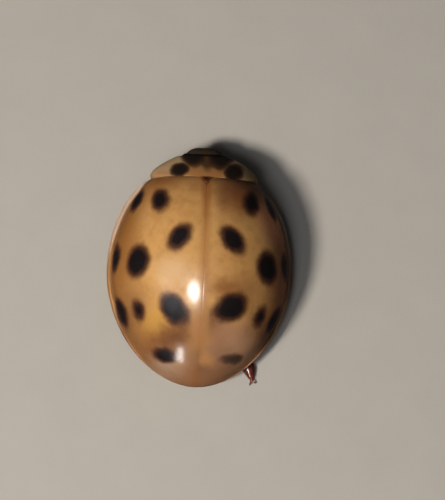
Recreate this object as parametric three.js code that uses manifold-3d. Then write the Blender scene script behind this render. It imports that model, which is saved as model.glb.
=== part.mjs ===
// A harlequin ladybird at life size, standing with its legs drawn in under the wing cases.
// Lengths are in millimetres. The head points to +Y, the feet stand on z = 0,
// and the origin lies on the floor under the middle of the body.

import * as THREE from 'three';
import * as BufferGeometryUtils from 'three/addons/utils/BufferGeometryUtils.js';
import Module from 'manifold-3d';

const wasm = await Module();
wasm.setup();

// ---------------------------------------------------------------- driving dimensions

// The dome of the wing cases, seen from above, is two half superellipses that share
// their widest line: a blunt front half and a more pointed rear half.
const HALF_WIDTH = 2.70;
const WIDEST_Y = -0.18;
const FRONT_REACH = 3.25;
const REAR_REACH = 3.33;
const FRONT_POWER = 2.2;
const REAR_POWER = 1.86;

// Seen from the side, the back is highest over the widest line,
// and the rim climbs from the tail to the shoulders.
const BACK_TOP = 3.50;
const RIM_TAIL = 0.62;
const RIM_RISE = 0.33;

const SHELL = 0.50;             // thickness of a wing case
const FLANGE = 0.10;            // width of the flat margin outside the dome
const GUTTER = 0.25;            // where the margin is lowest, as a share of its width
// Heights of the margin over the rim line, as shares of the dome's height.
const GUTTER_LIFT = 0.006;
const MARGIN_LIFT = 0.020;
const MARGIN_HEM = -0.012;
const MARGIN_UNDER = -0.030;
const SEAM = 0.04;              // gap along the suture and round the scutellum
const FIT = 0.05;               // gap between parts that nest in each other

// The shoulder line, where the wing cases meet the pronotum.
const BASE_Y = 2.33;
const BASE_BOW = 0.10;          // how far its ends lie in front of its middle
const SHOULDER_X = 1.72;
const SHOULDER_CUT = [1.77, 2.58];  // where the cut beside the shoulder leaves the shell

const SCUTELLUM_HALF = 0.20;
const SCUTELLUM_LENGTH = 0.29;

// The pronotum is an arched shield that narrows and drops towards the head.
const SHIELD_REAR_HALF = 1.63;
const SHIELD_FRONT_HALF = 0.85;
const SHIELD_FRONT_Y = 3.08;
const SHIELD_TOP_REAR = 2.50;
const SHIELD_TOP_FRONT = 1.86;
const SHIELD_EDGE_REAR = 1.30;
const SHIELD_EDGE_FRONT = 1.44;
const SHIELD_THICK_REAR = 0.42;
const SHIELD_THICK_FRONT = 0.22;
// How far the ends of its hind and front margins lie in front of their middles.
const SHIELD_REAR_BOW = 0.12;
const SHIELD_FRONT_BOW = 0.05;
// Powers that shape how it narrows, how its crown drops and how full its arch is.
const SHIELD_NARROWING = 1.8;
const SHIELD_DROP = 1.15;
const SHIELD_FULLNESS = 0.9;
// How far the underside is drawn in and hangs down at the sides, as shares of the thickness.
const SHIELD_INSET = 0.5;
const SHIELD_HEM = 0.3;

// Ellipsoids: centre and the three half axes.
const HEAD = { centre: [0, 3.02, 1.21], half: [0.62, 0.50, 0.47] };
const EYE = { centre: [0.50, 3.05, 1.30], half: [0.24, 0.27, 0.31] };
const MOUTH = { centre: [0, 3.33, 0.86], half: [0.34, 0.17, 0.25] };
const CHEST = { centre: [0, 2.52, 1.20], half: [1.00, 0.58, 0.54] };

// The underside of the trunk and the cuts across it.
const KEEL_DROP = 0.03;         // share of the dome's height by which the belly bulges down
const CHEST_BACK_Y = 2.10;
const HIP_Y = -0.30;            // between the hind thorax and the abdomen
const BELLY_RINGS = [-0.95, -1.50, -2.00, -2.45];
const RING_DEPTH = 0.05;

// Legs of the right side, from the hip to the toe; the left side is the mirror image.
const THIGH_RADII = [0.20, 0.25, 0.22];
const SHIN_RADII = [0.22, 0.24];
const FOOT_RADII = [0.22, 0.22];
const TARSUS_LEVEL = 0.19;
const LEGS = {
  front: { hip: [0.34, 2.42, 0.66], knee: [1.48, 2.08, 0.46], ankle: [1.12, 2.80], toe: [0.78, 3.10] },
  mid: { hip: [0.55, 1.05, 0.64], knee: [1.88, 0.86, 0.46], ankle: [1.98, -0.08], toe: [2.12, -0.60] },
  hind: { hip: [0.62, -0.36, 0.62], knee: [1.72, -1.10, 0.44], ankle: [1.36, -2.10], toe: [1.14, -2.66] },
};
const ANKLE_LEVEL = 0.30;
// The right hind foot is set down further out, just past the edge of the wing case.
const HIND_RIGHT_TOE = [1.68, -3.09];

const ANTENNA_PATH = [[0.46, 3.30, 1.08], [0.74, 3.08, 0.95], [0.90, 2.74, 0.92], [0.94, 2.40, 0.92]];
const ANTENNA_RADII = [0.18, 0.20, 0.21, 0.24];
const PALP_PATH = [[0.22, 3.18, 0.74], [0.42, 3.34, 0.64], [0.52, 3.36, 0.56]];
const PALP_RADII = [0.15, 0.16, 0.20];

// Colours, with roughness and metalness beside each.
const FINISH = {
  wingcase: { color: '#cd9961', roughness: 0.28 },
  scutellum: { color: '#5a3218', roughness: 0.35 },
  pronotum: { color: '#b58a58', roughness: 0.30 },
  black: { color: '#1f1814', roughness: 0.35 },
  eye: { color: '#0f0d0c', roughness: 0.20 },
  mouth: { color: '#8a5a2c', roughness: 0.40 },
  thorax: { color: '#2a1c12', roughness: 0.40 },
  belly: { color: '#9a5c28', roughness: 0.38 },
  leg: { color: '#a8692f', roughness: 0.38 },
};

// ---------------------------------------------------------------- geometry helpers

// Moves every vertex of a geometry to the place that a function gives for it.
function reshape(geometry, place) {
  const position = geometry.getAttribute('position');
  const vertex = new THREE.Vector3();
  for (let i = 0; i < position.count; i += 1) {
    vertex.fromBufferAttribute(position, i);
    const moved = place(vertex);
    position.setXYZ(i, moved.x, moved.y, moved.z);
  }
  return geometry;
}

function signedVolume(position, triangles) {
  let volume = 0;
  const [a, b, c] = [new THREE.Vector3(), new THREE.Vector3(), new THREE.Vector3()];
  for (let i = 0; i < triangles.length; i += 3) {
    a.fromBufferAttribute(position, triangles[i]);
    b.fromBufferAttribute(position, triangles[i + 1]);
    c.fromBufferAttribute(position, triangles[i + 2]);
    volume += a.dot(b.cross(c)) / 6;
  }
  return volume;
}

// Turns a closed three.js geometry into a solid that can be cut and joined.
function solid(geometry) {
  geometry.deleteAttribute('normal');
  geometry.deleteAttribute('uv');
  const merged = BufferGeometryUtils.mergeVertices(geometry, 1e-5);
  const position = merged.getAttribute('position');
  const corners = merged.getIndex().array;
  const triangles = [];
  for (let i = 0; i < corners.length; i += 3) {
    const [a, b, c] = [corners[i], corners[i + 1], corners[i + 2]];
    if (a !== b && b !== c && c !== a) {
      triangles.push(a, b, c);
    }
  }
  if (signedVolume(position, triangles) < 0) {
    triangles.reverse();
  }
  const mesh = new wasm.Mesh({
    numProp: 3,
    vertProperties: new Float32Array(position.array),
    triVerts: new Uint32Array(triangles),
  });
  return new wasm.Manifold(mesh);
}

function cutBy(body, ...cutters) {
  return cutters.reduce((rest, cutter) => rest.subtract(cutter), body);
}

// A plain block between two corners, used to part one solid from another.
function block(low, high) {
  const size = new THREE.Vector3(...high).sub(new THREE.Vector3(...low));
  const box = new THREE.BoxGeometry(size.x, size.y, size.z);
  box.translate(low[0] + size.x / 2, low[1] + size.y / 2, low[2] + size.z / 2);
  return solid(box);
}

// An ellipsoid on the body's midline, or beside it when a side is given.
function ellipsoid({ centre, half }, { side = 1, grow = 0, columns = 16, rows = 10 } = {}) {
  const sphere = new THREE.SphereGeometry(1, columns, rows);
  sphere.rotateX(Math.PI / 2);
  sphere.scale(half[0] + grow, half[1] + grow, half[2] + grow);
  sphere.translate(side * centre[0], centre[1], centre[2]);
  return solid(sphere);
}

function radiusAt(radii, share) {
  const place = THREE.MathUtils.clamp(share, 0, 1) * (radii.length - 1);
  const step = Math.min(Math.floor(place), radii.length - 2);
  return THREE.MathUtils.lerp(radii[step], radii[step + 1], place - step);
}

// A round-ended limb along a smooth path: a lathe turned to the limb's radii and then
// laid on the path. Nothing of it reaches below the floor, which gives a foot its sole.
function limb(path, radii, { grow = 0, sides = 8 } = {}) {
  const curve = new THREE.CatmullRomCurve3(path.map((point) => new THREE.Vector3(...point)));
  const length = curve.getLength();
  const first = radii[0] + grow;
  const last = radii[radii.length - 1] + grow;
  const cap = [0, 0.5, 1].map((share) => share * Math.PI / 2);
  const profile = [];
  cap.forEach((turn) => {
    profile.push(new THREE.Vector2(first * Math.sin(turn), -first * Math.cos(turn)));
  });
  const stations = path.length > 2 ? 6 : 3;
  for (let i = 1; i < stations; i += 1) {
    const share = i / stations;
    profile.push(new THREE.Vector2(radiusAt(radii, share) + grow, share * length));
  }
  cap.reverse().forEach((turn) => {
    profile.push(new THREE.Vector2(last * Math.sin(turn), length + last * Math.cos(turn)));
  });
  const lathe = new THREE.LatheGeometry(profile, sides, Math.PI / sides);
  const up = new THREE.Vector3(0, 0, 1);
  reshape(lathe, (vertex) => {
    const share = THREE.MathUtils.clamp(vertex.y / length, 0, 1);
    const tangent = curve.getTangentAt(share);
    const across = new THREE.Vector3().crossVectors(tangent, up).normalize();
    const above = new THREE.Vector3().crossVectors(across, tangent);
    const place = curve.getPointAt(share);
    place.addScaledVector(tangent, vertex.y - share * length);
    place.addScaledVector(across, vertex.x);
    place.addScaledVector(above, vertex.z);
    place.z = Math.max(place.z, 0);
    return place;
  });
  return solid(lathe);
}

function mirrored(points, side) {
  return points.map(([x, y, z]) => [side * x, y, z]);
}

// ---------------------------------------------------------------- the dome

// A point of the outline seen from above; the angle runs from the front over the right side.
function outline(angle) {
  const forward = Math.cos(angle);
  const sideways = Math.sin(angle);
  const power = 2 / (forward > 0 ? FRONT_POWER : REAR_POWER);
  const reach = forward > 0 ? FRONT_REACH : REAR_REACH;
  return {
    x: HALF_WIDTH * Math.sign(sideways) * Math.abs(sideways) ** power,
    y: WIDEST_Y + reach * Math.sign(forward) * Math.abs(forward) ** power,
  };
}

function rimHeight(y) {
  const share = (y - (WIDEST_Y - REAR_REACH)) / (FRONT_REACH + REAR_REACH);
  return RIM_TAIL + RIM_RISE * Math.max(share, 0) ** 1.5;
}

// Lays a lathe on the body: its radius becomes a share of the outline
// and its height a share of the way from the rim to the top of the back.
function layOnBody(lathe) {
  return reshape(lathe, (vertex) => {
    const angle = Math.atan2(vertex.x, vertex.z);
    const share = Math.hypot(vertex.x, vertex.z);
    const edge = outline(angle);
    const y = WIDEST_Y + (edge.y - WIDEST_Y) * share;
    const rim = rimHeight(edge.y);
    return new THREE.Vector3(edge.x * share, y, rim + (BACK_TOP - rim) * vertex.y);
  });
}

// A quarter of an ellipse from the axis down to the rim.
function arc(radius, height, steps) {
  const points = [];
  for (let i = 0; i <= steps; i += 1) {
    const turn = (i / steps) * Math.PI / 2;
    points.push(new THREE.Vector2(radius * Math.sin(turn), height * Math.cos(turn)));
  }
  return points;
}

function bowl() {
  const dome = 1 - FLANGE / HALF_WIDTH;
  const inner = 1 - SHELL / HALF_WIDTH;
  const innerTop = 1 - SHELL / (BACK_TOP - RIM_TAIL);
  const edge = [
    new THREE.Vector2(dome + GUTTER * (1 - dome), GUTTER_LIFT),
    new THREE.Vector2(1, MARGIN_LIFT),
    new THREE.Vector2(1, MARGIN_HEM),
    new THREE.Vector2((1 + inner) / 2, MARGIN_UNDER),
  ];
  const outside = arc(dome, 1, 11);
  outside.pop();
  const profile = [...outside, ...edge, ...arc(inner, innerTop, 5).reverse()];
  return solid(layOnBody(new THREE.LatheGeometry(profile, 48)));
}

// The trunk fills the dome; its underside bulges down a little towards the midline.
function trunk() {
  const inner = 1 - (SHELL + FIT) / HALF_WIDTH;
  const innerTop = 1 - (SHELL + 2 * FIT) / (BACK_TOP - RIM_TAIL);
  const belly = [0.75, 0.5, 0.25, 0].map((share) => {
    const drop = -KEEL_DROP * (1 - share * share);
    return new THREE.Vector2(inner * share, drop);
  });
  const profile = [...arc(inner, innerTop, 5), ...belly];
  return solid(layOnBody(new THREE.LatheGeometry(profile, 36)));
}

// ---------------------------------------------------------------- shell plates

function extruded(shape, low, high) {
  const settings = { depth: high - low, bevelEnabled: false, curveSegments: 10 };
  return solid(new THREE.ExtrudeGeometry(shape, settings).translate(0, 0, low));
}

// One wing case seen from above: it runs along the suture, leaves room for the scutellum,
// follows the shoulder line and takes in everything outside it.
function wingcasePlan(side) {
  const suture = side * SEAM / 2;
  const notch = side * (SCUTELLUM_HALF + SEAM);
  const shoulder = side * SHOULDER_X;
  const far = side * 2 * HALF_WIDTH;
  const [cutX, cutY] = SHOULDER_CUT;
  const shape = new THREE.Shape();
  shape.moveTo(suture, -2 * REAR_REACH);
  shape.lineTo(suture, BASE_Y - SCUTELLUM_LENGTH - SEAM);
  shape.lineTo(notch, BASE_Y);
  shape.quadraticCurveTo(shoulder / 2, BASE_Y, shoulder, BASE_Y + BASE_BOW);
  shape.lineTo(side * cutX, cutY);
  shape.lineTo(far, cutY);
  shape.lineTo(far, -2 * REAR_REACH);
  return shape;
}

function scutellumPlan() {
  const shape = new THREE.Shape();
  shape.moveTo(-SCUTELLUM_HALF, BASE_Y);
  shape.lineTo(0, BASE_Y - SCUTELLUM_LENGTH);
  shape.lineTo(SCUTELLUM_HALF, BASE_Y);
  return shape;
}

// The pronotum is a box bent into an arched shield. Across runs from -1 to 1,
// along from the hind margin to the front one, and lift from the underside to the top.
function pronotum(grow = 0) {
  const box = new THREE.BoxGeometry(2, 1, 1, 18, 6, 1);
  reshape(box, (vertex) => {
    const across = vertex.x;
    const along = vertex.y + 0.5;
    const under = 0.5 - vertex.z;
    const bend = across * Math.PI / 2;
    const arch = Math.cos(bend);
    const narrowing = SHIELD_REAR_HALF - SHIELD_FRONT_HALF;
    const half = SHIELD_FRONT_HALF + narrowing * (1 - along ** SHIELD_NARROWING);
    const rear = BASE_Y + SEAM + SHIELD_REAR_BOW * across ** 2;
    const front = SHIELD_FRONT_Y + SHIELD_FRONT_BOW * across ** 2 + grow;
    const top = THREE.MathUtils.lerp(SHIELD_TOP_REAR, SHIELD_TOP_FRONT, along ** SHIELD_DROP);
    const edge = THREE.MathUtils.lerp(SHIELD_EDGE_REAR, SHIELD_EDGE_FRONT, along);
    const thick = THREE.MathUtils.lerp(SHIELD_THICK_REAR, SHIELD_THICK_FRONT, along) + grow;
    const inset = under * thick * SHIELD_INSET;
    const low = edge - under * thick * SHIELD_HEM;
    return new THREE.Vector3(
      (half - inset) * Math.sin(bend),
      THREE.MathUtils.lerp(rear, front, along),
      low + (top - under * thick - low) * arch ** SHIELD_FULLNESS,
    );
  });
  return solid(box);
}

// ---------------------------------------------------------------- legs

function legPieces(name, side, grow = 0) {
  const plan = LEGS[name];
  const reachesOut = name === 'hind' && side > 0;
  const toe = reachesOut ? HIND_RIGHT_TOE : plan.toe;
  const [hip, knee, ankle] = mirrored([plan.hip, plan.knee, [...plan.ankle, ANKLE_LEVEL]], side);
  const heel = [ankle[0], ankle[1], TARSUS_LEVEL];
  const tip = [side * toe[0], toe[1], TARSUS_LEVEL];
  return {
    femur: limb([hip, knee], THIGH_RADII, { grow }),
    tibia: limb([knee, ankle], SHIN_RADII, { grow }),
    tarsus: limb([heel, tip], FOOT_RADII, { grow }),
  };
}

// Each leg piece gives way to the one above it.
function leg(name, side) {
  const body = legPieces(name, side);
  const room = legPieces(name, side, FIT);
  return {
    femur: body.femur,
    tibia: cutBy(body.tibia, room.femur),
    tarsus: cutBy(body.tarsus, room.femur, room.tibia),
  };
}

// ---------------------------------------------------------------- the model

const model = new THREE.Group();
model.name = 'ladybird';

function add(name, body, finish) {
  const { vertProperties, triVerts } = body.getMesh();
  const geometry = new THREE.BufferGeometry();
  geometry.setAttribute('position', new THREE.BufferAttribute(vertProperties, 3));
  geometry.setIndex(new THREE.BufferAttribute(triVerts, 1));
  geometry.computeVertexNormals();
  const material = new THREE.MeshStandardMaterial({ ...FINISH[finish], metalness: 0 });
  const mesh = new THREE.Mesh(geometry, material);
  mesh.name = name;
  model.add(mesh);
}

const SIDES = [['left', -1], ['right', 1]];

const shell = bowl();
const legRoom = [];
for (const [sideName, side] of SIDES) {
  const wingcase = shell.intersect(extruded(wingcasePlan(side), 0, BACK_TOP + 1));
  add(`elytron_${sideName}`, wingcase, 'wingcase');
  for (const name of Object.keys(LEGS)) {
    const pieces = leg(name, side);
    for (const [piece, body] of Object.entries(pieces)) {
      add(`leg_${name}_${sideName}_${piece}`, body, 'leg');
    }
    legRoom.push(...Object.values(legPieces(name, side, FIT)));
  }
}
add('scutellum', shell.intersect(extruded(scutellumPlan(), 0, BACK_TOP + 1)), 'scutellum');
add('pronotum', pronotum(), 'pronotum');

// Head, with its eyes, feelers and mouthparts let into it.
const antennae = SIDES.map(([, side]) => limb(mirrored(ANTENNA_PATH, side), ANTENNA_RADII));
const antennaRoom = SIDES.map(([, side]) => {
  return limb(mirrored(ANTENNA_PATH, side), ANTENNA_RADII, { grow: FIT });
});
const eyeRoom = SIDES.map(([, side]) => ellipsoid(EYE, { side, grow: FIT, columns: 10, rows: 6 }));
const headRoom = ellipsoid(HEAD, { grow: FIT });
const mouthRoom = ellipsoid(MOUTH, { grow: FIT, columns: 10, rows: 6 });
add('head', cutBy(ellipsoid(HEAD), ...eyeRoom, ...antennaRoom, pronotum(FIT)), 'black');
add('mouthparts', cutBy(ellipsoid(MOUTH, { columns: 10, rows: 6 }), headRoom), 'mouth');
SIDES.forEach(([sideName, side], i) => {
  const eye = ellipsoid(EYE, { side, columns: 10, rows: 6 });
  add(`eye_${sideName}`, cutBy(eye, pronotum(FIT), antennaRoom[i]), 'eye');
  add(`antenna_${sideName}`, antennae[i], 'mouth');
  const palp = limb(mirrored(PALP_PATH, side), PALP_RADII);
  add(`palp_${sideName}`, cutBy(palp, headRoom, mouthRoom), 'mouth');
});

// Underside: the chest, the hind thorax and the ringed abdomen, hollowed where the legs lie.
const wide = 2 * HALF_WIDTH;
const chest = ellipsoid(CHEST, { rows: 8 }).intersect(block([-wide, CHEST_BACK_Y, 0], [wide, wide, wide]));
const chestRoom = [pronotum(FIT), headRoom, ...antennaRoom, ...eyeRoom, ...legRoom];
add('prothorax', cutBy(chest, ...chestRoom), 'thorax');
const inside = trunk();
const thoraxSpan = block([-wide, HIP_Y, 0], [wide, CHEST_BACK_Y - SEAM, wide]);
add('pterothorax', cutBy(inside.intersect(thoraxSpan), ...legRoom), 'thorax');
const abdomenSpan = block([-wide, -wide, 0], [wide, HIP_Y - SEAM, wide]);
const rings = BELLY_RINGS.map((y) => {
  return block([-wide, y - RING_DEPTH / 2, 0], [wide, y + RING_DEPTH / 2, RIM_TAIL + RING_DEPTH]);
});
add('abdomen', cutBy(inside.intersect(abdomenSpan), ...rings, ...legRoom), 'belly');

export default model;
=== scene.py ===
"""A harlequin ladybird at life size: wing cases, neck shield, head, feelers, belly and legs.

Lengths inside the shape functions are millimetres; meshes are stored in metres.
The head points to +Y and the feet stand on z = 0.
"""
import math

import bmesh
import bpy
from mathutils import Matrix, Vector


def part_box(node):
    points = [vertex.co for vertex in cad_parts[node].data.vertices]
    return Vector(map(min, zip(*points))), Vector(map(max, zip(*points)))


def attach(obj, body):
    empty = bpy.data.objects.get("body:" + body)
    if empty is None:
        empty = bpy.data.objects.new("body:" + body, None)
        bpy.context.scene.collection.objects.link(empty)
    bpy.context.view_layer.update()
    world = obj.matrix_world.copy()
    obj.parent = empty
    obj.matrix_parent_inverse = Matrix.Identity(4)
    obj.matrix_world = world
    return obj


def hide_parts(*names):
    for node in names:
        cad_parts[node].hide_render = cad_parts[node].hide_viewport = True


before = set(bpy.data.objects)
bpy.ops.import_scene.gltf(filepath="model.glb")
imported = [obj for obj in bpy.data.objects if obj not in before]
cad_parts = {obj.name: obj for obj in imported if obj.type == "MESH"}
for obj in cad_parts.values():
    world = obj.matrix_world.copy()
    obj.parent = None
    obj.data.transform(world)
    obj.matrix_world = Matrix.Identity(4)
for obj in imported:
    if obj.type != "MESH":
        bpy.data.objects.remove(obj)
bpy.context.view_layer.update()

bl_info = {
    "name": "Harlequin ladybird",
    "version": (1, 0, 0),
    "blender": (4, 5, 0),
    "location": "View3D > Sidebar > Ladybird",
    "description": "Builds the shell, body and legs of a life-size harlequin ladybird",
    "category": "Object",
}

MM = 0.001
BODY = "root"
SIDES = (("left", -1), ("right", 1))


def linear(colour):
    """An sRGB hex colour as linear red, green, blue and alpha."""
    parts = [int(colour[i:i + 2], 16) / 255 for i in (1, 3, 5)]
    return tuple(p / 12.92 if p <= 0.04045 else ((p + 0.055) / 1.055) ** 2.4 for p in parts) + (1.0,)


def corners(node):
    """The lowest and highest corner of a CAD node, in millimetres."""
    low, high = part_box(node)
    return Vector(low) / MM, Vector(high) / MM


# ------------------------------------------------------------------ shape of the back

SHELL_LOW, SHELL_HIGH = corners("elytron_right")
SHIELD_LOW, SHIELD_HIGH = corners("pronotum")
SCUTELLUM_LOW, SCUTELLUM_HIGH = corners("scutellum")

HALF_WIDTH = SHELL_HIGH.x
TAIL_Y = SHELL_LOW.y
BACK_TOP = SHELL_HIGH.z
WIDEST_Y = -0.18
FRONT_REACH = 3.25
REAR_REACH = WIDEST_Y - TAIL_Y
FRONT_POWER = 2.2
REAR_POWER = 1.86
RIM_TAIL = 0.62
RIM_RISE = 0.33
BASE_Y = SCUTELLUM_HIGH.y
SCUTELLUM_HALF = SCUTELLUM_HIGH.x
SCUTELLUM_TIP = SCUTELLUM_LOW.y

# The dome ends at this share of its own foot; from there a gutter runs up to a small lip.
BRINK = 0.995
LIP = 0.022

# Width of the flat margin, in millimetres, from the tail to the shoulders.
FLANGE = (
    (-3.51, 0.0), (-3.1, 0.03), (-2.6, 0.07), (-1.8, 0.10),
    (0.0, 0.12), (1.4, 0.13), (2.1, 0.11), (2.6, 0.03))


def lerp(a, b, share):
    return a + (b - a) * share


def clamp(value):
    return max(0.0, min(1.0, value))


def arch(share):
    """A quarter of a sine wave: 0 at 0, flat at 1."""
    return math.sin(share * math.pi / 2)


def bump(offset, width):
    """A bell of height 1 at 0."""
    return math.exp(-(offset / width) ** 2)


def along(table, place):
    """A smooth value from a table of (place, value) rows in rising order."""
    if place <= table[0][0]:
        return table[0][1]
    for (a, low), (b, high) in zip(table, table[1:]):
        if place <= b:
            share = (place - a) / (b - a)
            return lerp(low, high, share * share * (3 - 2 * share))
    return table[-1][1]


def bisect(test, low, high):
    """The place between low and high where test turns from negative to positive."""
    for _ in range(40):
        middle = (low + high) / 2
        if test(middle) < 0:
            low = middle
        else:
            high = middle
    return (low + high) / 2


def share_at(x, y):
    """0 over the middle of the back and 1 on the outline."""
    ahead = y > WIDEST_Y
    reach = FRONT_REACH if ahead else REAR_REACH
    power = FRONT_POWER if ahead else REAR_POWER
    return ((abs(x) / HALF_WIDTH) ** power + (abs(y - WIDEST_Y) / reach) ** power) ** (1 / power)


def drawn_in(y, reach):
    """A place along the body moved towards the widest place, or away from it."""
    return WIDEST_Y + (y - WIDEST_Y) * reach


def rim_height(edge_y):
    """Height of the rim, which rises from the tail to the shoulders."""
    share = (edge_y - TAIL_Y) / (FRONT_REACH + REAR_REACH)
    return RIM_TAIL + RIM_RISE * max(share, 0) ** 1.5


def swell(share, flange):
    """Height above the rim, from 0 to 1: an elliptic dome with a gutter along its foot."""
    foot = 1 - flange
    brink = BRINK * foot
    if share <= brink:
        return math.sqrt(1 - (share / foot) ** 2)
    top = math.sqrt(1 - BRINK ** 2)
    steep = (1 - brink) * BRINK / (foot * top) / top
    run = clamp((share - brink) / (1 - brink))
    return top * (1 - run) ** steep + LIP * run


def back_height(x, y):
    """The dome of the back without its small features."""
    share = share_at(x, y)
    edge_y = WIDEST_Y + (y - WIDEST_Y) / max(share, 1e-6)
    rim = rim_height(edge_y)
    return rim + (BACK_TOP - rim) * swell(share, along(FLANGE, edge_y) / HALF_WIDTH)


def midline_arc():
    """Arc length over the back along the suture, as (y, length) rows from the tail to the base."""
    steps = 400
    ys = [lerp(BASE_Y + 0.4, TAIL_Y, arch(i / steps)) for i in range(steps + 1)]
    points = [Vector((0, y, back_height(0, y))) for y in ys]
    lengths = [0.0]
    for before, point in zip(points, points[1:]):
        lengths.append(lengths[-1] + (point - before).length)
    start = min(zip(ys, lengths), key=lambda row: abs(row[0] - BASE_Y))[1]
    return [(y, length - start) for y, length in reversed(list(zip(ys, lengths)))]


ARC = midline_arc()


def arc_at(y):
    """How far behind the base a place is, over the curve of the back."""
    for (a, low), (b, high) in zip(ARC, ARC[1:]):
        if y <= b:
            return lerp(low, high, (y - a) / (b - a) if b > a else 0)
    return ARC[-1][1]


# ------------------------------------------------------------------ meshes

# Points closer than this, in metres, are one.
WELD = 2e-8
# How close, in radians, the first and last ring of a ball come to its poles.
POLE = 0.02
# A limb closes at its ends over this many rows of its path.
CLOSING_ROWS = 2.5


def linked(name, mesh):
    """A mesh as an object of the scene."""
    piece = bpy.data.objects.new(name, mesh)
    bpy.context.scene.collection.objects.link(piece)
    return piece


def loft_mesh(name, lofts):
    """One mesh from several lofts. Each loft is a list of closed rings of points in millimetres,
    or a pair of that list and a matching list of rings of values for the attribute "lie"."""
    points, values, faces = [], [], []
    for loft in lofts:
        rings, lie = loft if isinstance(loft, tuple) else (loft, None)
        start = len(points)
        count = len(rings[0])
        for r, ring in enumerate(rings):
            points.extend(Vector(p) * MM for p in ring)
            values.extend(lie[r] if lie else [(0, 0, 0)] * count)
        for r in range(len(rings) - 1):
            here = start + r * count
            for j in range(count):
                k = (j + 1) % count
                faces.append((here + j, here + k, here + count + k, here + count + j))
        for r in (0, len(rings) - 1):
            here = start + r * count
            for j in range(count // 2 - 1):
                faces.append((here + j, here + j + 1, here + count - 2 - j, here + count - 1 - j))
    mesh = bpy.data.meshes.new(name)
    mesh.from_pydata(points, [], faces)
    layer = mesh.attributes.new("lie", "FLOAT_VECTOR", "POINT")
    layer.data.foreach_set("vector", [number for value in values for number in value])
    work = bmesh.new()
    work.from_mesh(mesh)
    bmesh.ops.remove_doubles(work, verts=work.verts, dist=WELD)
    bmesh.ops.dissolve_degenerate(work, edges=work.edges, dist=WELD / 2)
    bmesh.ops.recalc_face_normals(work, faces=work.faces)
    work.to_mesh(mesh)
    work.free()
    mesh.shade_smooth()
    mesh.set_sharp_from_angle(angle=math.radians(50))
    return linked(name, mesh)


def settle(piece, finish, slot, *nodes):
    """Gives a finished piece its material and its body, and hides the CAD nodes it stands for. Its slot is
    not used.
    """
    piece.data.materials.clear()
    piece.data.materials.append(finish)
    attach(piece, BODY)
    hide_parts(*nodes)


def ball(centre, half, rows, columns, shape=None):
    """Rings round the Y axis over an ellipsoid; shape may move each unit point."""
    rings = []
    for i in range(rows + 1):
        turn = lerp(POLE, math.pi - POLE, i / rows)
        wide = math.sin(turn)
        ring = []
        for j in range(columns):
            spin = 2 * math.pi * j / columns
            unit = Vector((wide * math.cos(spin), -math.cos(turn), wide * math.sin(spin)))
            if shape:
                unit = shape(unit)
            ring.append([centre[axis] + unit[axis] * half[axis] for axis in range(3)])
        rings.append(ring)
    return rings


def path_mesh(name, paths):
    """Edges along smooth paths. Each path is a list of (point, girth) rows in millimetres."""
    points, girths, headings, edges = [], [], [], []
    for rows in paths:
        start = len(points)
        for i, (point, girth) in enumerate(rows):
            ahead = Vector(rows[min(i + 1, len(rows) - 1)][0]) - Vector(rows[max(i - 1, 0)][0])
            points.append(Vector(point) * MM)
            girths.append(girth * MM)
            headings.extend(ahead.normalized())
            if i:
                edges.append((start + i - 1, start + i))
    mesh = bpy.data.meshes.new(name)
    mesh.from_pydata(points, edges, [])
    mesh.attributes.new("girth", "FLOAT", "POINT").data.foreach_set("value", girths)
    mesh.attributes.new("heading", "FLOAT_VECTOR", "POINT").data.foreach_set("vector", headings)
    return mesh


def smooth_path(points, steps):
    """Catmull-Rom points through the given ones, evenly shared."""
    knots = [Vector(p) for p in points]
    knots = [knots[0] * 2 - knots[1]] + knots + [knots[-1] * 2 - knots[-2]]
    spans = len(knots) - 3
    result = []
    for i in range(steps + 1):
        place = min(i / steps * spans, spans - 1e-6)
        k = int(place)
        t = place - k
        a, b, c, d = knots[k:k + 4]
        result.append(0.5 * (2 * b + (c - a) * t + (2 * a - 5 * b + 4 * c - d) * t * t
                             + (3 * b - a - 3 * c + d) * t ** 3))
    return result


def limb_rows(points, girth, steps=36):
    """Rows for path_mesh: a smooth path with girth(share), closed to a point at both ends."""
    rows = []
    for i, point in enumerate(smooth_path(points, steps)):
        share = i / steps
        close = math.sqrt(clamp(min(share, 1 - share) * steps / CLOSING_ROWS + 0.02))
        rows.append((point, girth(share) * close))
    return rows


# ------------------------------------------------------------------ nodes

def add_node(tree, kind, settings=None):
    """Adds a node and sets the inputs and properties that the settings name, properties first.
    An output, or a node for its first output, is linked to the input."""
    node = tree.nodes.new(kind)
    later = []
    for key, value in (settings or {}).items():
        if isinstance(key, int) or key in node.inputs:
            later.append((key, value))
        else:
            setattr(node, key, value)
    for key, value in later:
        if isinstance(value, bpy.types.Node):
            value = value.outputs[0]
        if isinstance(value, bpy.types.NodeSocket):
            tree.links.new(value, node.inputs[key])
        else:
            node.inputs[key].default_value = value
    return node


def new_tree(name, inputs):
    """A geometry node tree with its named inputs: (name, kind of socket, default). Returns the
    tree and the sockets that its inputs come from."""
    tree = bpy.data.node_groups.new(name, "GeometryNodeTree")
    tree.interface.new_socket("Geometry", in_out="INPUT", socket_type="NodeSocketGeometry")
    for label, kind, default in inputs:
        made = tree.interface.new_socket(label, in_out="INPUT", socket_type="NodeSocket" + kind)
        if default is not None:
            made.default_value = default
    tree.interface.new_socket("Geometry", in_out="OUTPUT", socket_type="NodeSocketGeometry")
    return tree, add_node(tree, "NodeGroupInput").outputs


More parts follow.
